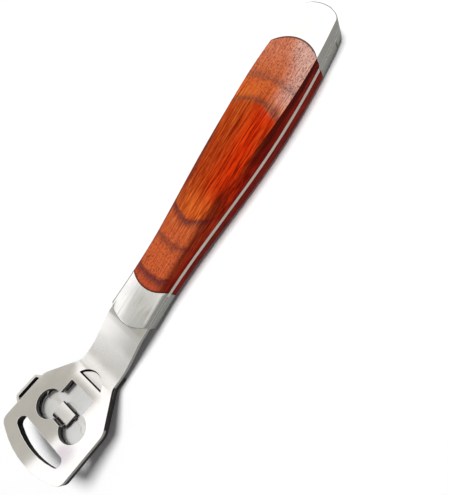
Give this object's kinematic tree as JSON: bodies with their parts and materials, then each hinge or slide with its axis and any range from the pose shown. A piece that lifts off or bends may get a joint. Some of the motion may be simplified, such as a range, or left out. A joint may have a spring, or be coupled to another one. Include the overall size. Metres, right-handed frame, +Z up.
{
  "type": "callus shaver",
  "caption": "Pedicure callus shaver: a bent steel frame with a cutting head, a sole tray that holds a blade, and a wooden handle with steel ends.",
  "frame": {"origin": "middle of the whole part's box on the ground it lies on, the belly of the handle and the heel of the sole at Z = 0", "axes": "+X along the handle towards the head, +Z up out of the upper face, +Y to the side away from the thumb ear"},
  "size_m": [0.1754, 0.0346, 0.0163],
  "materials": {
    "polished_steel": "polished stainless steel",
    "blade_steel": "fine ground steel",
    "red_wood": "lacquered, orange-red with dark rings"
  },
  "bodies": {
    "root": {"frame": "polished_steel", "upper_scale": "red_wood", "lower_scale": "red_wood", "upper_bolster": "polished_steel", "lower_bolster": "polished_steel", "upper_cap": "polished_steel", "lower_cap": "polished_steel", "sole_tray": "polished_steel", "blade": "blade_steel", "scale_pins": "polished_steel", "bolster_pin": "polished_steel", "cap_pin": "polished_steel"}
  },
  "joints": []
}
